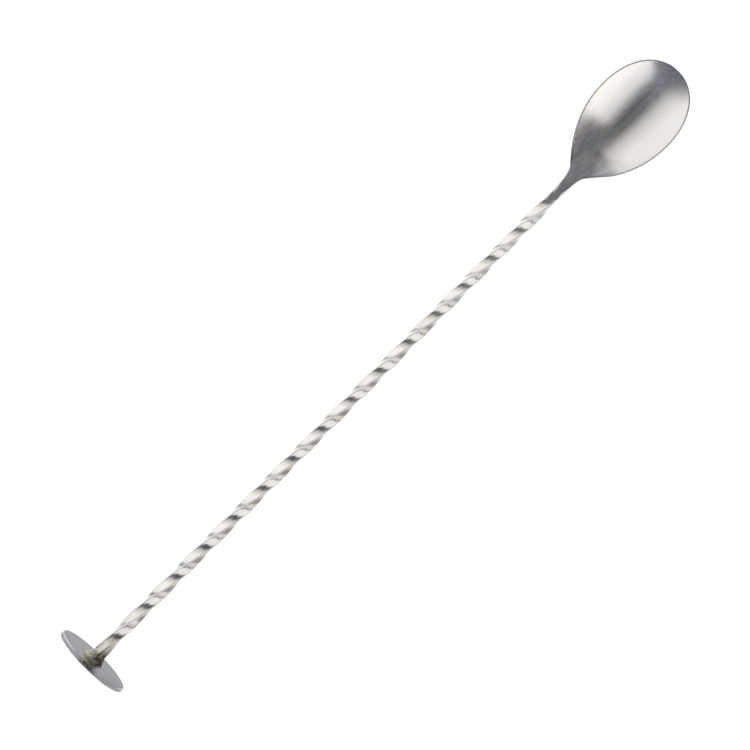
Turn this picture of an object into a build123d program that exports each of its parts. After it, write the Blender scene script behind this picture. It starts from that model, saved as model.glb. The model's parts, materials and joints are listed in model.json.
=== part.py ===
from build123d import *
from math import atan2, cos, sin
import os

# A bar spoon with a twisted stem and a flat muddler disc, lying on its back with the bowl
# facing up: the disc's rim and the bowl's back touch the surface z = 0. The bowl points
# along +X. Distances along the stem are measured from the disc's stem-side face, and all
# sizes are in millimetres.

# Driving dimensions
OVERALL_LENGTH = 280.0

DISC_DIAMETER = 27.0
DISC_THICKNESS = 1.5
DISC_BEVEL = 0.25

BAR_SIDE = 3.5
BAR_CORNER_RADIUS = 0.12
TWIST_PITCH = 54.16
FOOT_WELD_HEIGHT = 3.0
FOOT_WELD_BASE_RADIUS = 4.3
FOOT_WELD_TOP_RADIUS = 2.55
# (height above the disc, radius) where the bead's profile is most hollow
FOOT_WELD_WAIST = (1.3, 3.15)

STEM_END = 215.2
# How far past the end of the stem the ground weld is fattest
WELD_CREST = 1.4
NECK_START = 218.4
BOWL_ROOT = 226.4
BOWL_WIDTH = 31.4
BOWL_WIDEST = 257.4
BOWL_DEPTH = 6.8
SHEET_THICKNESS = 1.1
RIM_HEIGHT_AT_ROOT = 0.9
RIM_RISE = 0.6
RIM_SAG = 1.0
# Half the neck's width where the bowl's outline starts, and where the heel's curve takes over
ROOT_HALF_WIDTH = 2.45
HEEL_START = (1.1, 2.9)
# How far the ends of the outline's two curves lean on their tangents, at root, widest and tip
HEEL_LEAN = (7.6, 9.0)
WIDEST_LEAN_BACK = 14.2
WIDEST_LEAN_FORWARD = 12.1
TIP_LEAN = 9.3

# Worked out from them
DISC_RADIUS = DISC_DIAMETER / 2
BOWL_TIP = OVERALL_LENGTH - DISC_THICKNESS
BOWL_HALF_WIDTH = BOWL_WIDTH / 2


def rim_height(distance):
    """Height of the bowl's rim above the stem's axis: a shallow sag from root to tip."""
    share = (distance - BOWL_ROOT) / (BOWL_TIP - BOWL_ROOT)
    return RIM_HEIGHT_AT_ROOT + RIM_RISE * share - 4 * RIM_SAG * share * (1 - share)


def section_rise(sideways):
    """How far the bowl's cross-section, one parabola along its whole length, rises from its middle."""
    return BOWL_DEPTH * (sideways / BOWL_HALF_WIDTH) ** 2


def keel_height(distance, half_width):
    """Height of the bowl's inside on its centreline, where the rim is half_width away."""
    return rim_height(distance) - section_rise(half_width)


# The spoon rests on its disc and on the back of the bowl, so its axis dips towards the bowl.
bowl_drop = SHEET_THICKNESS - keel_height(BOWL_WIDEST, BOWL_HALF_WIDTH)
REST_TILT = atan2(DISC_RADIUS - bowl_drop, BOWL_WIDEST)
axis_direction = Vector(cos(REST_TILT), 0, -sin(REST_TILT))

AXIS_HEIGHT = DISC_RADIUS * cos(REST_TILT) - DISC_BEVEL * sin(REST_TILT)
back_end = -DISC_THICKNESS * cos(REST_TILT) - (DISC_RADIUS - DISC_BEVEL) * sin(REST_TILT)
front_end = BOWL_TIP * cos(REST_TILT) + rim_height(BOWL_TIP) * sin(REST_TILT)
FOOT_X = -(back_end + front_end) / 2

# Cross-sections: local x is sideways (+Y), local y is up, and the normal runs to the bowl.
axis = Plane(origin=(FOOT_X, 0, AXIS_HEIGHT), x_dir=(0, 1, 0), z_dir=axis_direction)
# Plan view: local x runs along the axis, and local y sideways.
plan = Plane(origin=axis.origin, x_dir=axis.z_dir, z_dir=axis.y_dir)
# Side view: local x runs along the axis, and local y is up.
side = Plane(origin=axis.origin, x_dir=axis.z_dir, z_dir=-axis.x_dir)


# ---- muddler_disc: a flat round plate with bevelled rims
with BuildPart() as muddler_disc:
    with BuildSketch(axis):
        Circle(DISC_RADIUS)
    extrude(amount=-DISC_THICKNESS)
    chamfer(muddler_disc.edges(), length=DISC_BEVEL)
muddler_disc.part.label = "muddler_disc"


# ---- twisted_stem: a square bar with a right-hand twist, cut off square at both ends
# It ends with two of its faces level with the bowl, so the twist is counted back from there.
twist_angle = 360 * STEM_END / TWIST_PITCH

with BuildPart() as twisted_stem:
    with BuildLine(axis):
        centreline = Line((0, 0, 0), (0, 0, STEM_END))
    with BuildLine(axis):
        guide = Helix(TWIST_PITCH, STEM_END, BAR_SIDE, direction=axis.z_dir)
    with BuildSketch(axis):
        RectangleRounded(BAR_SIDE, BAR_SIDE, BAR_CORNER_RADIUS, rotation=-twist_angle)
    sweep(path=centreline.edge(), binormal=guide.edge())
twisted_stem.part.label = "twisted_stem"


# ---- foot_weld: the fillet bead in the corner between the disc and the foot of the bar
with BuildPart() as foot_weld:
    with BuildSketch(side):
        with BuildLine():
            base = Line((0, 0), (0, FOOT_WELD_BASE_RADIUS))
            bead = ThreePointArc(base @ 1, FOOT_WELD_WAIST, (FOOT_WELD_HEIGHT, FOOT_WELD_TOP_RADIUS))
            Polyline(bead @ 1, (FOOT_WELD_HEIGHT, 0), base @ 0)
        make_face()
    revolve(axis=Axis(side.origin, side.x_dir))
    add(twisted_stem.part, mode=Mode.SUBTRACT)
foot_weld.part.label = "foot_weld"


# ---- neck_weld: the ground butt weld, from the square bar to the rounded neck
# (distance, width, height, corner radius)
WELD_SECTIONS = (
    (STEM_END, BAR_SIDE, BAR_SIDE, BAR_CORNER_RADIUS),
    (STEM_END + WELD_CREST, 3.8, 3.6, 1.2),
    (NECK_START, 3.6, 3.1, 1.3),
)

with BuildPart() as neck_weld:
    for distance, width, height, corner in WELD_SECTIONS:
        with BuildSketch(axis.offset(distance)):
            RectangleRounded(width, height, corner)
    loft()
neck_weld.part.label = "neck_weld"


# ---- spoon_bowl: the stamped sheet of the bowl, and the thicker neck that runs into it
# Half of the bowl's outline in plan, from its root to its widest point and on to its tip
heel_side = Bezier(
    (BOWL_ROOT + HEEL_START[0], HEEL_START[1]),
    (BOWL_ROOT + HEEL_LEAN[0], HEEL_LEAN[1]),
    (BOWL_WIDEST - WIDEST_LEAN_BACK, BOWL_HALF_WIDTH),
    (BOWL_WIDEST, BOWL_HALF_WIDTH),
)
tip_side = Bezier(
    (BOWL_WIDEST, BOWL_HALF_WIDTH),
    (BOWL_WIDEST + WIDEST_LEAN_FORWARD, BOWL_HALF_WIDTH),
    (BOWL_TIP, TIP_LEAN),
    (BOWL_TIP, 0),
)

# The sheet is lofted a little past the outline all round, and then cut to it.
SHEET_OVERLAP = 1.5
# Where along each curve of the outline the sheet's cross-sections are taken
HEEL_SHARES = (0.1, 0.3, 0.5, 0.75, 1.0)
TIP_SHARES = (0.3, 0.55, 0.8, 1.0)
sheet_edge = BOWL_HALF_WIDTH + SHEET_OVERLAP
edge_rise = section_rise(sheet_edge)
# (distance, height of the inside on the centreline) at each cross-section
keel = [(BOWL_ROOT - SHEET_OVERLAP, rim_height(BOWL_ROOT))]
for curve, shares in ((heel_side, HEEL_SHARES), (tip_side, TIP_SHARES)):
    for share in shares:
        point = curve @ share
        keel.append((point.X, keel_height(point.X, point.Y)))
tip_slope = (keel[-1][1] - keel[-2][1]) / (keel[-1][0] - keel[-2][0])
keel.append((BOWL_TIP + SHEET_OVERLAP, keel[-1][1] + tip_slope * SHEET_OVERLAP))

# (distance, width, thickness, height of the middle, corner radius) of the neck
NECK_SECTIONS = (
    (NECK_START, 3.6, 3.1, 0.0, 1.3),
    (220.0, 3.4, 2.9, 0.0, 1.2),
    (223.0, 4.1, 2.5, -0.1, 1.0),
    (BOWL_ROOT, 5.0, 2.0, -0.25, 0.8),
    (229.0, 5.2, 1.5, -0.5, 0.6),
    (232.0, 4.0, 0.8, -1.15, 0.3),
)


with BuildPart() as spoon_bowl:
    for distance, inside in keel:
        with BuildSketch(axis.offset(distance)):
            with BuildLine():
                sides = []
                for middle in (inside, inside - SHEET_THICKNESS):
                    rim_left = (-sheet_edge, middle + edge_rise)
                    rim_right = (sheet_edge, middle + edge_rise)
                    sides.append(Bezier(rim_left, (0, middle - edge_rise), rim_right))
                for end in (0, 1):
                    Line(sides[0] @ end, sides[1] @ end)
            make_face()
    loft()
    with BuildSketch(plan):
        with BuildLine():
            add(heel_side)
            add(tip_side)
            Line((BOWL_ROOT, 0), (BOWL_ROOT, ROOT_HALF_WIDTH))
            Line((BOWL_ROOT, ROOT_HALF_WIDTH), heel_side @ 0)
            mirror(about=Plane.XZ)
        make_face()
    extrude(amount=2 * BOWL_DEPTH, both=True, mode=Mode.INTERSECT)
    for distance, width, height, lift, corner in NECK_SECTIONS:
        with BuildSketch(axis.offset(distance)):
            with Locations((0, lift)):
                RectangleRounded(width, height, corner)
    loft()
spoon_bowl.part.label = "spoon_bowl"


os.makedirs("parts", exist_ok=True)
export_step(muddler_disc.part, "parts/muddler_disc.step")
export_step(foot_weld.part, "parts/foot_weld.step")
export_step(twisted_stem.part, "parts/twisted_stem.step")
export_step(neck_weld.part, "parts/neck_weld.step")
export_step(spoon_bowl.part, "parts/spoon_bowl.step")
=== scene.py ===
"""A bar spoon with a twisted stem and a flat muddler disc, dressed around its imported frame.

Shapes are written in spoon coordinates, in millimetres: the distance along the stem's axis
from the disc's stem-side face, then sideways, then the height above the axis. place() turns
them into the frame's metres.
"""

import json
from math import asin, atan2, cos, hypot, pi, radians, sin, sqrt

import bmesh
import bpy
from mathutils import Matrix, Vector, noise


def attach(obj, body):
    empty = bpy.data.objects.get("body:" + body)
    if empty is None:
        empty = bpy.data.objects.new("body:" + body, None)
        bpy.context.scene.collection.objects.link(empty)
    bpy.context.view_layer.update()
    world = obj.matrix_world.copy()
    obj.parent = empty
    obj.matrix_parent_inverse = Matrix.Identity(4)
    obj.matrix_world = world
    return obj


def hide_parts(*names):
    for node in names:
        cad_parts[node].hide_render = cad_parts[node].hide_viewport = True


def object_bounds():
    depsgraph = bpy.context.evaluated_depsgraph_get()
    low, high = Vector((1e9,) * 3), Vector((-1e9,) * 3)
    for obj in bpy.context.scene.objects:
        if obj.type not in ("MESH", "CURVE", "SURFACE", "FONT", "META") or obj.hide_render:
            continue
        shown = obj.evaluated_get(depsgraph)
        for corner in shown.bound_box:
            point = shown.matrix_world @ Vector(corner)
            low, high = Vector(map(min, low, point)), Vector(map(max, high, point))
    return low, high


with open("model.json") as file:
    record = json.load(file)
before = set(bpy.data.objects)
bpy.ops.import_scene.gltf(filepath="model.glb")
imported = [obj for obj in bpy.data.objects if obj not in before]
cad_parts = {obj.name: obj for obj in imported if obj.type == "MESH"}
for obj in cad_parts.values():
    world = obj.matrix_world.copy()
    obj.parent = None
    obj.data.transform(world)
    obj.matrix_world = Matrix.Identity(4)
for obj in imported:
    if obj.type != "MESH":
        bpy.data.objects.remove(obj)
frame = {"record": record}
cad_box = [list(corner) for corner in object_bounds()]

# ---- Driving sizes, in millimetres
MM = 0.001
SPOON_LENGTH = 280.0
DISC_THICKNESS = 1.5
DISC_RADIUS = 13.5
DISC_BEVEL = 0.25
BAR_SIDE = 3.5
TWIST_PITCH = 54.16
# Where the twist ends, a little short of the bar's own end
TWIST_END = 213.5
STEM_END = 215.2
NECK_START = 218.4
BOWL_ROOT = 226.4
BOWL_WIDEST = 257.4
BOWL_HALF_WIDTH = 15.69
# A hair short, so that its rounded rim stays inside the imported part's box
BOWL_TIP = SPOON_LENGTH - DISC_THICKNESS - 0.04
BOWL_DEPTH = 6.8
# The rim's height above the axis at the bowl's root, its rise to the tip, and its sag between
RIM_AT_ROOT = 0.9
RIM_RISE = 0.6
RIM_SAG = 1.0
# The sheet's thickness in the middle of the bowl and at its rim
SHEET_MIDDLE = 1.1
SHEET_RIM = 0.8
FOOT_WELD_HEIGHT = 3.0

# ---- The spoon's own axes, from the mount on the disc's outer face
mount = frame["record"]["mounts"][0]
AXIS = -Vector(mount["axis"]).normalized()
SIDE = Vector((0.0, 1.0, 0.0))
UP = AXIS.cross(SIDE)
FOOT = Vector(mount["pos_m"]) + AXIS * DISC_THICKNESS * MM


def place(distance, sideways, height):
    """The point of the frame, in metres, that has these spoon coordinates."""
    return FOOT + (AXIS * distance + SIDE * sideways + UP * height) * MM


def smoothstep(low, high, value):
    """0 below low and 1 above high, with a smooth rise between them."""
    share = min(max((value - low) / (high - low), 0.0), 1.0)
    return share * share * (3 - 2 * share)


def blend(a, b, share):
    """The value that far from a to b."""
    return a + (b - a) * share


def even(count, low=0.0, high=1.0):
    """count + 1 evenly spaced values from low to high."""
    return [low + (high - low) * i / count for i in range(count + 1)]


def squircle(angle, half_width, half_height, power):
    """A point of a rounded rectangle: power 2 is an ellipse, and more is squarer."""
    across = abs(cos(angle)) ** (2 / power) * half_width
    up = abs(sin(angle)) ** (2 / power) * half_height
    return (across if cos(angle) >= 0 else -across, up if sin(angle) >= 0 else -up)


# ---- Meshes
# Points this close become one, and edges this short go
MERGE_DISTANCE = 0.002 * MM
SHORTEST_EDGE = 0.0005 * MM


def rings_to_mesh(name, rings, across, along):
    """A closed smooth mesh through rings of spoon points, with its UV map, "grain".

    across gives each ring point's U, with one more for the way back to the first point, and
    along gives each ring's V.
    """
    count = len(rings[0])
    mesh = bmesh.new()
    uv = mesh.loops.layers.uv.new("grain")
    rows = [[mesh.verts.new(place(*point)) for point in ring] for ring in rings]
    for i in range(len(rings) - 1):
        for j in range(count):
            k = (j + 1) % count
            face = mesh.faces.new((rows[i][j], rows[i][k], rows[i + 1][k], rows[i + 1][j]))
            corners = ((i, j), (i, j + 1), (i + 1, j + 1), (i + 1, j))
            for loop, (row, column) in zip(face.loops, corners):
                loop[uv].uv = (across[column], along[row])
    for end in (0, len(rings) - 1):
        for column, loop in enumerate(mesh.faces.new(rows[end]).loops):
            loop[uv].uv = (across[column], along[end])
    bmesh.ops.remove_doubles(mesh, verts=mesh.verts, dist=MERGE_DISTANCE)
    bmesh.ops.dissolve_degenerate(mesh, edges=mesh.edges, dist=SHORTEST_EDGE)
    bmesh.ops.recalc_face_normals(mesh, faces=mesh.faces)
    for face in mesh.faces:
        face.smooth = True
    data = bpy.data.meshes.new(name)
    mesh.to_mesh(data)
    mesh.free()
    piece = bpy.data.objects.new(name, data)
    bpy.context.scene.collection.objects.link(piece)
    return piece


def finish_piece(piece, node, material):
    """The piece stands for its CAD node, rides with it and wears this material."""
    piece.data.materials.append(material)
    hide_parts(node)
    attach(piece, "root")


# ---- The bowl and its neck
# Half of their outline in plan, as cubic curves: the neck, the heel's flare and the tip's round
NECK_TO_HEEL = (228.4, 3.7)
HEEL_TO_TIP = (BOWL_WIDEST, BOWL_HALF_WIDTH)
NECK_SIDE = ((NECK_START, 1.88), (221.4, 1.6), (226.8, 2.27), NECK_TO_HEEL)
HEEL_SIDE = (NECK_TO_HEEL, (234.6, 9.2), (243.2, BOWL_HALF_WIDTH), HEEL_TO_TIP)
TIP_SIDE = (HEEL_TO_TIP, (269.5, BOWL_HALF_WIDTH), (BOWL_TIP, 9.3), (BOWL_TIP, 0.0))


def bezier(points, share):
    """The point that far along a cubic curve with these four control points."""
    rest = 1 - share
    weights = (rest**3, 3 * rest**2 * share, 3 * rest * share**2, share**3)
    return [sum(w * p[i] for w, p in zip(weights, points)) for i in (0, 1)]


def outline_points(neck_steps, heel_steps, tip_steps):
    """(distance, half width) at points from the neck's start to the bowl's tip."""
    points = [bezier(NECK_SIDE, s) for s in even(neck_steps)[:-1]]
    points += [bezier(HEEL_SIDE, s) for s in even(heel_steps)[:-1]]
    return points + [bezier(TIP_SIDE, s) for s in even(tip_steps)]


FINE_OUTLINE = outline_points(neck_steps=400, heel_steps=800, tip_steps=800)
# Half widths squared, which are smooth at the tip, where the half width itself isn't
SQUARES = [(distance, width**2) for distance, width in FINE_OUTLINE]


def half_width_squared(distance):
    """Half the width at this distance, squared; past the tip it is less than nothing."""
    low, high = 0, len(SQUARES) - 1
    while high - low > 1:
        middle = (low + high) // 2
        if SQUARES[middle][0] <= distance:
            low = middle
        else:
            high = middle
    (before, first), (after, second) = SQUARES[low], SQUARES[high]
    return blend(first, second, (distance - before) / max(after - before, 1e-9))


def rim_height(distance):
    """Height of the rim: a shallow sag from root to tip."""
    share = (distance - BOWL_ROOT) / (BOWL_TIP - BOWL_ROOT)
    return RIM_AT_ROOT + RIM_RISE * share - 4 * RIM_SAG * share * (1 - share)


def inside_height(distance, sideways):
    """Height of the bowl's inside, whose cross-section is one parabola all along."""
    depth = BOWL_DEPTH / BOWL_HALF_WIDTH**2
    return rim_height(distance) - depth * (half_width_squared(distance) - sideways**2)


def inside_normal(distance, sideways):
    """The unit normal of the bowl's inside there, in spoon coordinates."""
    step = 0.05
    rise = (inside_height(distance, sideways) - inside_height(distance - step, sideways)) / step
    lean = 2 * BOWL_DEPTH * sideways / BOWL_HALF_WIDTH**2
    return Vector((-rise, -lean, 1.0)).normalized()


# Steps over each face of the sheet, and round each of its edges
ACROSS_STEPS = 64
CAP_STEPS = 10
# The bowl's U runs from 0 to 10 over the inside from -Y to +Y, to 11 round one edge, to 21 over
# the back, and to 22 round the other edge
FACE_U = 10.0
HALF_ROUND_U = 11.0
# How far the rim's round stands out, in sheet thicknesses
RIM_BULGE = 0.42
# The angle from level at which the neck's top gives way to its sides
SIDE_ANGLE = radians(33)


def bowl_ring(distance, half_width, outward):
    """One closed loop of the bowl: its inside, rim, back and other rim, from -Y over to +Y.

    outward is the outline's normal in plan, as (along, sideways).
    """
    slope = hypot(*inside_normal(distance, half_width).xy)
    cap = RIM_BULGE * SHEET_RIM
    overhang = hypot(SHEET_RIM / 2 * slope, cap * sqrt(1 - slope**2))
    inset = overhang + SHEET_RIM / 2 * slope
    edge = Vector((distance - outward[0] * inset, half_width - outward[1] * inset))
    edge.y = max(edge.y, 0.0)
    inside, back = [], []
    for share in even(ACROSS_STEPS, -1.0, 1.0):
        sideways = edge.y * share
        point = Vector((edge.x, sideways, inside_height(edge.x, sideways)))
        thickness = blend(SHEET_RIM, SHEET_MIDDLE, (1 - share**2) ** 0.7)
        inside.append(point)
        back.append(point - inside_normal(edge.x, sideways) * thickness)
    normal = inside_normal(edge.x, edge.y)
    sideways_out = Vector((outward[0], outward[1], 0.0))
    out = (sideways_out - normal * sideways_out.dot(normal)).normalized()
    middle = (inside[-1] + back[-1]) / 2
    right = []
    for angle in even(CAP_STEPS, 0.0, pi)[1:-1]:
        bulge, drop = abs(sin(angle)) ** 0.8, cos(angle)
        right.append(middle + normal * drop * SHEET_RIM / 2 + out * bulge * cap)
    left = [Vector((p.x, -p.y, p.z)) for p in reversed(right)]
    return inside + right + back[::-1] + left


def neck_ring(distance, half_width):
    """One closed loop of the neck, point for point like the bowl's.

    Towards the bowl it gets thinner, sinks, and changes from a rounded to a squarer section.
    """
    half_height = blend(1.55, 0.5, smoothstep(219, 233, distance))
    lift = -1.15 * smoothstep(222, 235, distance)
    power = blend(5.0, 16.0, smoothstep(219, 222, distance))
    angles = even(ACROSS_STEPS, pi - SIDE_ANGLE, SIDE_ANGLE)
    angles += even(CAP_STEPS, SIDE_ANGLE, -SIDE_ANGLE)[1:-1]
    angles += even(ACROSS_STEPS, -SIDE_ANGLE, SIDE_ANGLE - pi)
    angles += even(CAP_STEPS, SIDE_ANGLE - pi, -SIDE_ANGLE - pi)[1:-1]
    ring = []
    for angle in angles:
        sideways, height = squircle(angle, half_width, half_height, power)
        ring.append(Vector((distance, sideways, lift + height)))
    return ring


def make_bowl():
    """The stamped bowl and the neck that runs into it, as one closed sheet."""
    stations = outline_points(neck_steps=40, heel_steps=56, tip_steps=84)
    last = len(stations) - 1
    rings, along = [], []
    for i, (distance, half_width) in enumerate(stations):
        before, after = stations[max(i - 1, 0)], stations[min(i + 1, last)]
        tangent = Vector((after[0] - before[0], after[1] - before[1])).normalized()
        if i == last:
            tangent = Vector((0.0, -1.0))
        bowl = bowl_ring(distance, half_width, (-tangent.y, tangent.x))
        neck = neck_ring(distance, half_width)
        share = smoothstep(225, 241, distance)
        ring = [n.lerp(b, share) for n, b in zip(neck, bowl)]
        # The heel flares a little later on its -Y side
        narrowing = 0.13 * smoothstep(221, 228, distance) * (1 - smoothstep(229, 237, distance))
        for point in ring:
            point.y -= narrowing * min(point.y, 0.0)
        rings.append(ring)
        along.append(distance)
    across = even(ACROSS_STEPS, 0.0, FACE_U) + even(CAP_STEPS, FACE_U, HALF_ROUND_U)[1:]
    across += [HALF_ROUND_U + u for u in across[1:]]
    return rings_to_mesh("bowl_and_neck", rings, across, along)


# ---- The twisted stem
# How far the middle of a face lies below its edges, and the radius of the bar's corners
FACE_HOLLOW = 0.065
CORNER_RADIUS = 0.42
# Steps over half a face, round a corner and along the bar
FACE_STEPS = 8
CORNER_STEPS = 9
STEM_STEPS = 640
# The twist is ahead of an even one by this much, give or take the swing, in waves of this length
TWIST_LEAD = 0.3
TWIST_SWING = 0.32
WAVE_START = 45
WAVE_LENGTH = 118
# From here to its end the bar's top is ground down, from clear of its corners to the last height
GRIND_START = 204
GRIND_CLEAR = 2.5
GRIND_HEIGHT = 1.78


def bar_outline():
    """Points round a square whose faces are slightly hollow and whose corners are rounded."""
    centre = BAR_SIDE / 2 - CORNER_RADIUS
    lip = asin(4 * FACE_HOLLOW / centre)
    edge = centre - CORNER_RADIUS * sin(lip)
    lowest = centre + CORNER_RADIUS * cos(lip) - FACE_HOLLOW
    half = [(lowest + FACE_HOLLOW * s**4, edge * s) for s in even(FACE_STEPS)]
    quarter = half[:]
    for angle in even(CORNER_STEPS, -lip, pi / 2 + lip)[1:-1]:
        quarter.append((centre + CORNER_RADIUS * cos(angle), centre + CORNER_RADIUS * sin(angle)))
    quarter += [(h, y) for y, h in reversed(half[1:])]
    points = []
    for turn in range(4):
        c, s = cos(turn * pi / 2), sin(turn * pi / 2)
        points += [(c * y - s * h, s * y + c * h) for y, h in quarter]
    return points


def lengths_round(points):
    """How far round a closed outline each point lies, and its whole length last."""
    lengths = [0.0]
    for (y0, h0), (y1, h1) in zip(points, points[1:] + points[:1]):
        lengths.append(lengths[-1] + hypot(y1 - y0, h1 - h0))
    return lengths


def twist_at(distance):
    """How far the bar is turned there: a slightly uneven twist, with none where it was clamped."""
    uneven = TWIST_LEAD + TWIST_SWING * sin(2 * pi * (distance - WAVE_START) / WAVE_LENGTH)
    return 2 * pi * min(distance + uneven - TWIST_END, 0.0) / TWIST_PITCH


def make_stem():
    """A square bar with a right-hand twist, its top ground away towards the neck weld."""
    outline = bar_outline()
    rings = []
    along = even(STEM_STEPS, 0.0, STEM_END)
    for distance in along:
        turn = twist_at(distance)
        c, s = cos(turn), sin(turn)
        ground = blend(GRIND_CLEAR, GRIND_HEIGHT, smoothstep(GRIND_START, STEM_END, distance))
        ring = []
        for y, h in outline:
            waver = 1 + 0.006 * noise.noise((distance * 0.22, y * 0.5, h * 0.5))
            sideways, height = (c * y - s * h) * waver, (s * y + c * h) * waver
            ring.append((distance, sideways, min(height, ground)))
        rings.append(ring)
    return rings_to_mesh("stem_bar", rings, lengths_round(outline), along)


# ---- The ground butt weld
# Where it starts over the bar's end, and where it ends over the neck
NECK_WELD_START = STEM_END - 0.75
NECK_WELD_END = NECK_START + 0.25
# How much fatter it is than the bar that it laps over
LAP_SCALE = 1.008
# How far its edge over the bar leans, at the bar's side
LAP_LEAN = 0.6


def make_neck_weld():
    """The weld, ground flush, which starts askew over the bar's end.

    Its section leaves the bar's square shape for a rounded one, and shrinks to the neck's size.
    """
    bar = bar_outline()
    angles = [atan2(h, y) for y, h in bar]
    rings = []
    along = even(60, NECK_WELD_START, NECK_WELD_END)
    for distance in along:
        leave = smoothstep(STEM_END - 0.3, NECK_START - 0.6, distance)
        shrink = smoothstep(STEM_END + 1.0, NECK_START + 0.2, distance)
        half_width = blend(1.92, 1.89, shrink)
        half_height = blend(GRIND_HEIGHT, 1.56, shrink)
        askew = LAP_LEAN * (1 - smoothstep(NECK_WELD_START, NECK_START - 0.5, distance))
        rough = 0.012 * leave * (1 - shrink)
        ring = []
        for (bar_y, bar_h), angle in zip(bar, angles):
            reach = distance + askew * bar_y / BAR_SIDE * 2
            turn = twist_at(min(reach, STEM_END))
            c, s = cos(turn), sin(turn)
            y, h = squircle(angle, half_width, half_height, 5.0)
            y = blend((c * bar_y - s * bar_h) * LAP_SCALE, y, leave)
            h = blend((s * bar_y + c * bar_h) * LAP_SCALE, h, leave)
            waver = 1 + rough * noise.noise((distance * 0.9, y * 0.8, h * 0.8))
            ring.append((reach, y * waver, h * waver))
        rings.append(ring)
    return rings_to_mesh("neck_butt_weld", rings, lengths_round(bar), along)


# ---- The fillet weld at the foot
BEAD_STEPS = 200
# The bead's radius on the disc and at its top, before it closes on the bar
BEAD_BASE_RADIUS = 4.15
BEAD_TOP_RADIUS = 2.5
# How far it stands off the bar's faces at its top
BEAD_STAND_OFF = 0.06
# How far its U runs, about its length round in millimetres
BEAD_U = 24.0


def make_foot_weld():
    """A lumpy bead: round on the disc, drawn in to the square bar at its top."""
    rings, along = [], []
    for share in even(60):
        height = FOOT_WELD_HEIGHT * share
        hollow = blend(BEAD_BASE_RADIUS, BEAD_TOP_RADIUS, 1 - (1 - share) ** 1.7)
        grip = smoothstep(0.35, 1.0, share)
        ring = []
        for angle in even(BEAD_STEPS, 0.0, 2 * pi)[:-1]:
            turned = angle - twist_at(height)
            y, h = cos(angle), sin(angle)
            square = 1 / (abs(cos(turned)) ** 7 + abs(sin(turned)) ** 7) ** (1 / 7)
            radius = blend(hollow, (BAR_SIDE / 2 + BEAD_STAND_OFF) * square, grip)
            # Adding 7 only picks another part of the noise
            lump = noise.noise((y * 1.3 + 7, h * 1.3, height * 0.5))
            lump += 0.5 * noise.noise((y * 3.4 + 7, h * 3.4, height * 1.2))
            grit = noise.noise((y * 11, h * 11, height * 3.5))
            radius += (0.3 * lump + 0.13 * grit) * (1 - grip**2)
            # It is fuller above the axis, and leaner on its -Y side
            radius += (0.9 * max(h, 0.0) - 0.95 * max(-y, 0.0)) * (1 - share) ** 1.5
            ring.append((height, y * radius, h * radius))
        rings.append(ring)
        along.append(height)
    return rings_to_mesh("foot_weld_bead", rings, even(BEAD_STEPS, 0.0, BEAD_U), along)


# ---- The muddler disc
DISC_STEPS = 180
# The radius of the small flat face that closes the middle of each side
HUB_RADIUS = 0.4
# How far the bevel's edges are rounded off
CRISP = 0.012
# How far its U runs, about its length round in millimetres
DISC_U = 80.0


def make_disc():
    """A flat plate with turned bevels, revolved from its profile."""
    edge, bevel = DISC_RADIUS, DISC_BEVEL
    inner = edge - bevel
    front = [(0.0, radius) for radius in even(14, HUB_RADIUS, inner - CRISP)]
    front += [(-0.2 * CRISP, inner), (-CRISP, inner + CRISP), (CRISP - bevel, edge - CRISP)]
    front += [(-bevel, edge - 0.2 * CRISP), (-bevel - CRISP, edge)]
    back = [(-DISC_THICKNESS - distance, radius) for distance, radius in reversed(front)]
    profile = front + back
    rings = []
    for distance, radius in profile:
        ring = []
        for angle in even(DISC_STEPS, 0.0, 2 * pi)[:-1]:
            ring.append((distance, radius * cos(angle), radius * sin(angle)))
        rings.append(ring)
    along = [0.0]
    for (d0, r0), (d1, r1) in zip(profile, profile[1:]):
        along.append(along[-1] + hypot(d1 - d0, r1 - r0))
    return rings_to_mesh("disc_plate", rings, even(DISC_STEPS, 0.0, DISC_U), along)


# ---- Materials
class Shader:
    """A few short words for building a node tree."""

    def __init__(self, tree):
        self.nodes, self.links = tree.nodes, tree.links

    def node(self, kind, **settings):
        """A new node of this kind, with these settings."""
        made = self.nodes.new(kind)
        for key, value in settings.items():
            setattr(made, key, value)
        return made

    def feed(self, socket, value):
        """Links the value to the socket if it is an output, and sets it on the socket if not."""
        if isinstance(value, bpy.types.NodeSocket):
            self.links.new(value, socket)
        else:
            socket.default_value = value

    def worked_out(self, made, values):
        """The first output of a node that is given these values in turn."""
        for socket, value in zip(made.inputs, values):
            self.feed(socket, value)
        return made.outputs[0]

    def math(self, operation, *values):
        """The result of this operation on these numbers."""
        return self.worked_out(self.node("ShaderNodeMath", operation=operation), values)

    def vector(self, operation, *values):
        """The result of this operation on these vectors."""
        return self.worked_out(self.node("ShaderNodeVectorMath", operation=operation), values)

    def spread(self, value, low, high, start=0.0, end=1.0):
        """start where the value is at low or beyond, end at high, and a smooth change between."""
        made = self.node("ShaderNodeMapRange", interpolation_type="SMOOTHSTEP")
        return self.worked_out(made, (value, low, high, start, end))

    def part(self, vector, axis):
        """One of a vector's three parts."""
        made = self.node("ShaderNodeSeparateXYZ")
        self.feed(made.inputs[0], vector)
        return made.outputs[axis]

    def mix(self, share, a, b):
        """The colour that far from a to b."""
        made = self.node("ShaderNodeMix", data_type="RGBA")
        self.feed(made.inputs[0], share)
        self.feed(made.inputs[6], a)
        self.feed(made.inputs[7], b)
        return made.outputs[2]

    def noise(self, place, scale, detail=4.0, roughness=0.5):
        """Noise of about one cell per 1 / scale millimetres along each of place's axes."""
        made = self.node("ShaderNodeTexNoise")
        self.feed(made.inputs["Vector"], self.vector("MULTIPLY", place, scale))
        self.feed(made.inputs["Scale"], 1.0)
        self.feed(made.inputs["Detail"], detail)
        self.feed(made.inputs["Roughness"], roughness)
        return made.outputs[0]


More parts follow.
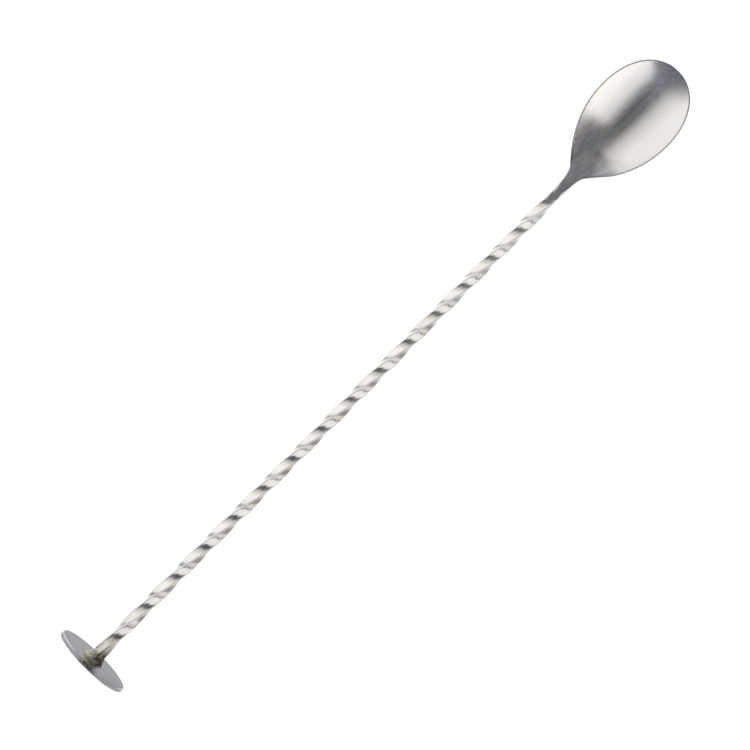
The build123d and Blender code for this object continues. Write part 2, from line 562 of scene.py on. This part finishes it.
def millimetres(shader):
    """The surface position in the frame, in millimetres."""
    position = shader.node("ShaderNodeTexCoord").outputs["Object"]
    return shader.vector("MULTIPLY", position, (1 / MM,) * 3)


def grain_uv(shader):
    """The piece's own UV map: U runs round it, and V along it in millimetres."""
    return shader.node("ShaderNodeUVMap", uv_map="grain").outputs[0]


def relief(shader, surface, height, distance):
    """Bump on the surface, from 0 to distance millimetres as the height goes from 0 to 1."""
    bump = shader.node("ShaderNodeBump")
    bump.inputs["Strength"].default_value = 1.0
    bump.inputs["Distance"].default_value = distance * MM
    shader.feed(bump.inputs["Height"], height)
    shader.feed(surface.inputs["Normal"], bump.outputs[0])


def new_steel(name, color, roughness, anisotropy=0.0):
    """A bare metal, as (material, shader, surface), for its own nodes to vary."""
    material = bpy.data.materials.new(name)
    material.use_nodes = True
    shader = Shader(material.node_tree)
    surface = shader.nodes["Principled BSDF"]
    surface.inputs["Base Color"].default_value = (*color, 1.0)
    surface.inputs["Metallic"].default_value = 1.0
    surface.inputs["Roughness"].default_value = roughness
    surface.inputs["Anisotropic"].default_value = anisotropy
    return material, shader, surface


def across_tangent(shader):
    """The surface's direction square to the spoon's axis, which brushing spreads light along."""
    normal = shader.node("ShaderNodeNewGeometry").outputs["Normal"]
    return shader.vector("NORMALIZE", shader.vector("CROSS_PRODUCT", normal, tuple(AXIS)))


def bowl_material():
    """Satin steel, brushed lengthwise in fine uneven lines, with a darker edge and painted shade.
    """
    material, shader, surface = new_steel("bowl_satin", (0.78, 0.77, 0.76), 0.27, 0.6)
    place_mm = millimetres(shader)
    lines = shader.noise(place_mm, (0.05, 3.4, 3.4), 6.0, 0.6)
    streaks = shader.noise(place_mm, (0.035, 0.9, 0.9), 3.0)
    cloud = shader.noise(place_mm, (0.12, 0.16, 0.16), 2.0)
    tone = shader.math("MULTIPLY", streaks, 0.8)
    tone = shader.math("ADD", tone, shader.math("MULTIPLY", cloud, 0.2))
    shade = shader.spread(tone, 0.3, 0.7)
    satin = shader.mix(shade, (0.75, 0.745, 0.745, 1.0), (0.82, 0.81, 0.795, 1.0))
    uv = grain_uv(shader)
    all_round = shader.part(uv, 0)
    distance = shader.part(uv, 1)
    # The inside with its edge, and the back with its own, run alike in this
    half_round = shader.math("MODULO", all_round, HALF_ROUND_U)
    off_middle = shader.math("ABSOLUTE", shader.math("SUBTRACT", half_round, FACE_U / 2))
    # Painted shade: the neck gets darker towards its sides
    painted_shade_to_sides = shader.spread(off_middle, 3.4, 4.4)
    neck = shader.mix(painted_shade_to_sides, (0.79, 0.78, 0.81, 1.0), (0.26, 0.26, 0.28, 1.0))
    on_neck = shader.spread(distance, 228.0, 240.0, 1.0, 0.0)
    face = shader.mix(on_neck, satin, neck)
    # Painted shade: the heel is darker inside, on its -Y side
    painted_heel_shade = shader.spread(all_round, 3.0, 4.2, 1.0, 0.0)
    painted_heel_shade = shader.math("MULTIPLY", painted_heel_shade, shader.spread(distance, 227.0, 230.0))
    painted_heel_shade = shader.math("MULTIPLY", painted_heel_shade, shader.spread(distance, 236.0, 240.0, 1.0, 0.0))
    face = shader.mix(painted_heel_shade, face, shader.vector("MULTIPLY", face, (0.6, 0.61, 0.66)))
    # The rim is darker, and darker still along the neck, where it goes with the neck's painted
    # shade
    rim = shader.mix(on_neck, (0.5, 0.51, 0.53, 1.0), (0.3, 0.3, 0.32, 1.0))
    edge = shader.spread(half_round, FACE_U - 0.03, FACE_U + 0.05)
    shader.feed(surface.inputs["Base Color"], shader.mix(edge, face, rim))
    shader.feed(surface.inputs["Roughness"], shader.spread(streaks, 0.25, 0.75, 0.24, 0.3))
    shader.feed(surface.inputs["Tangent"], across_tangent(shader))
    relief(shader, surface, lines, 0.006)
    return material


def stem_material():
    """Bright polished steel with faint lines along its twist, stained by heat at its foot."""
    material, shader, surface = new_steel("stem_polished", (0.77, 0.76, 0.74), 0.15)
    uv = grain_uv(shader)
    place_mm = millimetres(shader)
    distance = shader.part(uv, 1)
    lines = shader.noise(uv, (5.0, 0.06, 1.0), 4.0)
    patches = shader.noise(place_mm, (0.12, 0.3, 0.3), 3.0)
    bright = shader.spread(patches, 0.35, 0.65)
    bright = shader.mix(bright, (0.73, 0.715, 0.69, 1.0), (0.81, 0.805, 0.79, 1.0))
    # Olive and brown heat tint at the foot, most of it on the -Y side
    mottle = shader.noise(place_mm, (0.5, 0.9, 0.9), 5.0, 0.65)
    near_foot = shader.spread(distance, 2.0, 14.0, 1.0, 0.0)
    low_side = shader.spread(shader.part(place_mm, 1), 0.7, -0.7, 0.3, 1.0)
    stained = shader.math("MULTIPLY", near_foot, low_side)
    stained = shader.math("MULTIPLY", stained, shader.spread(mottle, 0.3, 0.55, 0.55, 1.0))
    stain = shader.spread(mottle, 0.42, 0.58)
    stain = shader.mix(stain, (0.37, 0.34, 0.26, 1.0), (0.14, 0.12, 0.095, 1.0))
    # Fainter straw tint further up
    straw = shader.spread(distance, 4.0, 42.0, 0.8, 0.0)
    straw = shader.math("MULTIPLY", straw, shader.spread(mottle, 0.35, 0.65, 0.3, 1.0))
    color = shader.mix(straw, bright, (0.64, 0.61, 0.56, 1.0))
    shader.feed(surface.inputs["Base Color"], shader.mix(stained, color, stain))
    roughness = shader.spread(patches, 0.3, 0.7, 0.16, 0.22)
    roughness = shader.math("MULTIPLY_ADD", near_foot, 0.08, roughness)
    shader.feed(surface.inputs["Roughness"], roughness)
    relief(shader, surface, lines, 0.002)
    return material


# V runs over the disc from the hub of its stem side to the hub of its outer side. These are its
# runs over a face and a bevel, and its value in the middle of the rim.
FACE_V = DISC_RADIUS - DISC_BEVEL - HUB_RADIUS
BEVEL_V = DISC_BEVEL * sqrt(2)
RIM_MIDDLE_V = FACE_V + BEVEL_V + DISC_THICKNESS / 2 - DISC_BEVEL


def disc_material():
    """Fine satin steel, turned in rings, with painted-brighter bevels and rim, and stained by the
    weld.
    """
    # Painted shade: the disc's steel is much darker than the bowl's and stem's, for the dimmer
    # light on it
    material, shader, surface = new_steel("disc_satin", (0.24, 0.24, 0.26), 0.38)
    uv = grain_uv(shader)
    over = shader.part(uv, 1)
    place_mm = millimetres(shader)
    sideways = shader.part(place_mm, 1)
    rings = shader.noise(uv, (0.05, 6.0, 1.0), 4.0)
    wide_rings = shader.noise(uv, (0.02, 1.3, 1.0), 5.0, 0.7)
    cloud = shader.noise(place_mm, (0.3, 0.3, 0.3), 4.0)
    tone = shader.spread(shader.math("MULTIPLY_ADD", cloud, 0.6, wide_rings), 0.55, 1.05)
    satin = shader.mix(tone, (0.195, 0.193, 0.222, 1.0), (0.26, 0.258, 0.29, 1.0))
    from_rim = shader.math("ABSOLUTE", shader.math("SUBTRACT", over, RIM_MIDDLE_V))
    on_rim = shader.spread(from_rim, 0.48, 0.54, 1.0, 0.0)
    on_bevel = shader.math("SUBTRACT", shader.spread(from_rim, 0.82, 0.88, 1.0, 0.0), on_rim)
    # Painted light: the rim is lighter than the faces, and lighter still over and under the axis
    off_top = shader.spread(shader.math("ABSOLUTE", sideways), 3.0, 9.0)
    rim = shader.mix(off_top, (0.56, 0.56, 0.58, 1.0), (0.4, 0.4, 0.42, 1.0))
    # Painted highlight: the bevels are lighter than the faces, in patches that break up their line
    # of light
    highlight_patches = shader.spread(shader.noise(place_mm, (0.12, 0.12, 0.12), 2.0), 0.4, 0.6)
    bevel = shader.mix(highlight_patches, (0.5, 0.5, 0.5, 1.0), (0.85, 0.85, 0.85, 1.0))
    clean = shader.mix(on_bevel, shader.mix(on_rim, satin, rim), bevel)
    # Straw and brown heat tint on the face round the weld
    reach = shader.math("MULTIPLY_ADD", cloud, 6.0, 2.2)
    tinted = shader.spread(shader.math("DIVIDE", over, reach), 0.6, 1.1, 0.75, 0.0)
    # Painted reflection of the weld: it goes on over the rim above the weld, but not over the outer
    # face
    off_bar = shader.math("ABSOLUTE", shader.math("SUBTRACT", sideways, 0.4))
    above = shader.spread(shader.part(place_mm, 2), 14.0, 17.0)
    above = shader.math("MULTIPLY", above, shader.spread(off_bar, 1.2, 4.2, 1.0, 0.0))
    mottle = shader.noise(place_mm, (0.9, 0.9, 0.9), 5.0, 0.65)
    above = shader.math("MULTIPLY", above, shader.spread(mottle, 0.32, 0.5, 0.25, 1.0))
    stem_side = shader.spread(over, RIM_MIDDLE_V + 0.4, RIM_MIDDLE_V + 0.55, 1.0, 0.0)
    above = shader.math("MULTIPLY", above, stem_side)
    tinted = shader.math("MAXIMUM", tinted, above)
    tint = shader.spread(mottle, 0.4, 0.6)
    tint = shader.mix(tint, (0.36, 0.34, 0.27, 1.0), (0.12, 0.105, 0.09, 1.0))
    shader.feed(surface.inputs["Base Color"], shader.mix(tinted, clean, tint))
    roughness = shader.math("MULTIPLY_ADD", on_bevel, -0.1, 0.38)
    roughness = shader.math("MULTIPLY_ADD", on_rim, 0.22, roughness)
    shader.feed(surface.inputs["Roughness"], roughness)
    relief(shader, surface, rings, 0.004)
    return material


def foot_weld_material():
    """A bead left as welded: straw and olive heat tint going to dark brown scale."""
    material, shader, surface = new_steel("weld_heat_tinted", (0.38, 0.33, 0.27), 0.42)
    place_mm = millimetres(shader)
    mottle = shader.noise(place_mm, (0.9, 0.9, 0.9), 6.0, 0.65)
    # It is darker on its -Y side
    heat = shader.math("MULTIPLY_ADD", shader.part(place_mm, 1), -0.07, mottle)
    tint = shader.spread(heat, 0.25, 0.55)
    tint = shader.mix(tint, (0.56, 0.54, 0.46, 1.0), (0.29, 0.265, 0.2, 1.0))
    burnt = shader.mix(shader.spread(heat, 0.5, 0.66), tint, (0.05, 0.042, 0.04, 1.0))
    shader.feed(surface.inputs["Base Color"], burnt)
    shader.feed(surface.inputs["Roughness"], shader.spread(mottle, 0.3, 0.7, 0.3, 0.6))
    grit = shader.noise(place_mm, (4.0, 4.0, 4.0), 5.0)
    relief(shader, surface, grit, 0.08)
    return material


def neck_weld_material():
    """A weld ground flush and brushed."""
    material, shader, surface = new_steel("weld_ground", (0.62, 0.62, 0.64), 0.28, 0.6)
    place_mm = millimetres(shader)
    lines = shader.noise(place_mm, (0.2, 4.0, 4.0), 5.0)
    cloud = shader.noise(place_mm, (0.5, 0.8, 0.8), 3.0)
    color = shader.mix(cloud, (0.77, 0.76, 0.80, 1.0), (0.83, 0.82, 0.86, 1.0))
    shader.feed(surface.inputs["Base Color"], color)
    shader.feed(surface.inputs["Tangent"], across_tangent(shader))
    relief(shader, surface, lines, 0.008)
    return material


finish_piece(make_bowl(), "spoon_bowl", bowl_material())
finish_piece(make_neck_weld(), "neck_weld", neck_weld_material())
finish_piece(make_stem(), "twisted_stem", stem_material())
finish_piece(make_foot_weld(), "foot_weld", foot_weld_material())
finish_piece(make_disc(), "muddler_disc", disc_material())


# ---- Floor
WHITE = (1.0, 1.0, 1.0, 1.0)
FLOOR_HALF = 3.0
# The gap that keeps the floor clear of the spoon, in metres
FLOOR_GAP = 0.00001


def make_floor():
    """A plain white floor, wide enough for every view.

    The steel sees painted shadow on it beside the spoon: a broad grey trough on the -Y side,
    brownish towards the disc, and a narrow strip on the +Y side.
    """
    data = bpy.data.meshes.new("floor")
    near, far = -FLOOR_HALF, FLOOR_HALF
    corners = [(near, near, 0), (far, near, 0), (far, far, 0), (near, far, 0)]
    data.from_pydata(corners, [], [(0, 1, 2, 3)])
    floor = bpy.data.objects.new("floor", data)
    bpy.context.scene.collection.objects.link(floor)
    floor.location.z = cad_box[0][2] - FLOOR_GAP
    material = bpy.data.materials.new("floor_white")
    material.use_nodes = True
    shader = Shader(material.node_tree)
    surface = shader.nodes["Principled BSDF"]
    surface.inputs["Base Color"].default_value = (0.3, 0.3, 0.3, 1.0)
    surface.inputs["Roughness"].default_value = 1.0
    surface.inputs["Specular IOR Level"].default_value = 0.0
    place_mm = millimetres(shader)
    along = shader.part(place_mm, 0)
    sideways = shader.part(place_mm, 1)
    # Painted shadow, seen only in the steel: the grey trough and the strip
    # Neither reaches under the disc
    past_foot = shader.spread(along, -134.0, -122.0)
    grey = shader.math("MULTIPLY", shader.spread(sideways, 0.0, -20.0), past_foot)
    grey = shader.math("MULTIPLY", grey, shader.spread(sideways, -45.0, -150.0, 1.0, 0.4))
    grey = shader.math("MULTIPLY", grey, shader.spread(along, -10.0, 90.0, 1.0, 0.65))
    strip = shader.spread(sideways, 24.0, 34.0, 1.0, 0.0)
    strip = shader.math("MULTIPLY", shader.spread(sideways, 10.0, 17.0), strip)
    strip = shader.math("MULTIPLY", strip, shader.spread(along, -40.0, -100.0, 0.75, 0.95))
    strip = shader.math("MULTIPLY", strip, past_foot)
    in_steel = shader.math("MULTIPLY_ADD", grey, -0.72, 0.98)
    in_steel = shader.math("MULTIPLY_ADD", strip, -0.75, in_steel)
    seen = shader.node("ShaderNodeLightPath").outputs["Is Camera Ray"]
    shader.feed(surface.inputs["Emission Strength"], shader.math("MAXIMUM", in_steel, seen))
    brown = shader.math("MULTIPLY", grey, shader.math("SUBTRACT", 1.0, seen))
    brown = shader.math("MULTIPLY", brown, shader.spread(along, -50.0, 70.0, 1.0, 0.0))
    color = shader.mix(brown, WHITE, (1.0, 0.93, 0.83, 1.0))
    shader.feed(surface.inputs["Emission Color"], color)
    data.materials.append(material)


make_floor()


# ---- Light: soft sides and panels beside the spoon, with a dark gap overhead
def make_world():
    """The studio as the steel sees it, by direction. The camera sees only white.

    Angles off centre are from overhead towards +Y, and x is 1 straight towards the bowl's end.
    """
    world = bpy.data.worlds.new("studio")
    bpy.context.scene.world = world
    world.use_nodes = True
    shader = Shader(world.node_tree)
    direction = shader.node("ShaderNodeSeparateXYZ")
    shader.feed(direction.inputs[0], shader.node("ShaderNodeTexCoord").outputs["Generated"])
    x, y, z = direction.outputs
    off_centre = shader.math("ARCTAN2", y, z)
    # A bright side towards +Y, dimmer next to the gap, and cut off towards both ends
    left = shader.spread(off_centre, radians(7), radians(23))
    far_end = shader.math("MULTIPLY_ADD", off_centre, 0.16, x)
    left = shader.math("MULTIPLY", left, shader.spread(far_end, 0.91, 1.01, 1.0, 0.0))
    left = shader.math("MULTIPLY", left, shader.spread(x, -0.75, -0.3))
    dimmer = shader.spread(off_centre, radians(22), radians(55), 0.63, 1.0)
    left = shader.math("MULTIPLY", left, dimmer)
    # A lower one towards -Y
    right = shader.spread(off_centre, radians(-65), radians(-73))
    right = shader.math("MULTIPLY", right, shader.spread(x, 0.62, 0.84, 1.0, 0.0))
    right = shader.math("MULTIPLY", right, shader.spread(x, -0.5, -0.15))
    # The gap between them is never quite dark
    gap = shader.spread(x, 0.5, 0.9, 0.06, 0.14)
    gap = shader.math("ADD", gap, shader.spread(x, 0.0, -0.5, 0.0, 0.1))
    lighter = shader.spread(off_centre, radians(-6), radians(-16), 0.0, 0.03)
    gap = shader.math("ADD", gap, lighter)
    tint = shader.spread(x, 0.6, 0.2)
    tint = shader.mix(tint, (0.98, 0.95, 1.06, 1.0), (0.93, 0.98, 1.2, 1.0))
    dark = shader.mix(gap, (0.0, 0.0, 0.0, 1.0), tint)
    lit = shader.mix(left, dark, (1.15, 1.125, 1.09, 1.0))
    lit = shader.mix(right, lit, (0.88, 0.84, 0.79, 1.0))
    seen = shader.node("ShaderNodeLightPath").outputs["Is Camera Ray"]
    color = shader.mix(seen, lit, WHITE)
    shader.feed(shader.nodes["Background"].inputs["Color"], color)


def make_panel(name, lean, half_angle, start, end, brightness, pieces):
    """A long soft panel a metre from the frame's X axis, which lights only some pieces.

    lean is its middle's angle from overhead, towards +Y, and half_angle is half the angle that it
    spans across. start and end are its ends' X in metres, and brightness is its radiance.
    """
    data = bpy.data.lights.new(name, "AREA")
    data.shape = "RECTANGLE"
    data.size = end - start
    data.size_y = 2 * sin(half_angle) / cos(half_angle)
    data.energy = brightness * pi * data.size * data.size_y
    data.color = (1.0, 0.98, 0.95)
    panel = bpy.data.objects.new(name, data)
    bpy.context.scene.collection.objects.link(panel)
    panel.rotation_euler = (-lean, 0.0, 0.0)
    panel.location = ((start + end) / 2, sin(lean), cos(lean))
    panel.visible_camera = False
    lit = bpy.data.collections.new(name + "_lights")
    for piece in pieces:
        lit.objects.link(bpy.data.objects[piece])
    panel.light_linking.receiver_collection = lit


make_world()
STEM = ["stem_bar"]
SATIN = ["bowl_and_neck", "neck_butt_weld", "disc_plate"]
make_panel("stem_panel", radians(-38.5), radians(22.5), -1.1, 1.1, 1.0, STEM)
# The two overhead meet end to end, because a panel in front of another would hide it
make_panel("stem_top_panel", 0.0, radians(16), -0.6, 0.1, 0.045, STEM)
make_panel("stem_bowl_end_panel", 0.0, radians(16), 0.1, 1.2, 0.14, STEM)
make_panel("satin_high_panel", radians(-48), radians(17), -0.45, 0.94, 0.92, SATIN)
make_panel("satin_low_panel", radians(-73), radians(14), -0.45, 0.94, 0.68, SATIN)


# ---- Camera: above the stem's middle, and a little towards the disc
VIEW_TARGET = (130.0, 0.3, 0.0)
VIEW_LEAN = radians(5.83)
VIEW_DISTANCE = 0.452
# The stem's angle in the picture
STEM_ANGLE = radians(45.184)
LENS_MM = 65.09
SENSOR_MM = 36.0


def make_camera():
    """Looks down on the spoon, which lies across the picture from lower left to upper right."""
    target = place(*VIEW_TARGET)
    forward = AXIS * sin(VIEW_LEAN) - UP * cos(VIEW_LEAN)
    along = (AXIS - forward * AXIS.dot(forward)).normalized()
    right = along * cos(STEM_ANGLE) - SIDE * sin(STEM_ANGLE)
    top = along * sin(STEM_ANGLE) + SIDE * cos(STEM_ANGLE)
    data = bpy.data.cameras.new("camera")
    data.lens = LENS_MM
    data.sensor_width = SENSOR_MM
    data.clip_start = 0.01
    camera = bpy.data.objects.new("camera", data)
    turn = Matrix((right, top, -forward)).transposed().to_4x4()
    camera.matrix_world = Matrix.Translation(target - forward * VIEW_DISTANCE) @ turn
    bpy.context.scene.collection.objects.link(camera)
    bpy.context.scene.camera = camera


make_camera()
bpy.context.scene.view_settings.view_transform = "Standard"
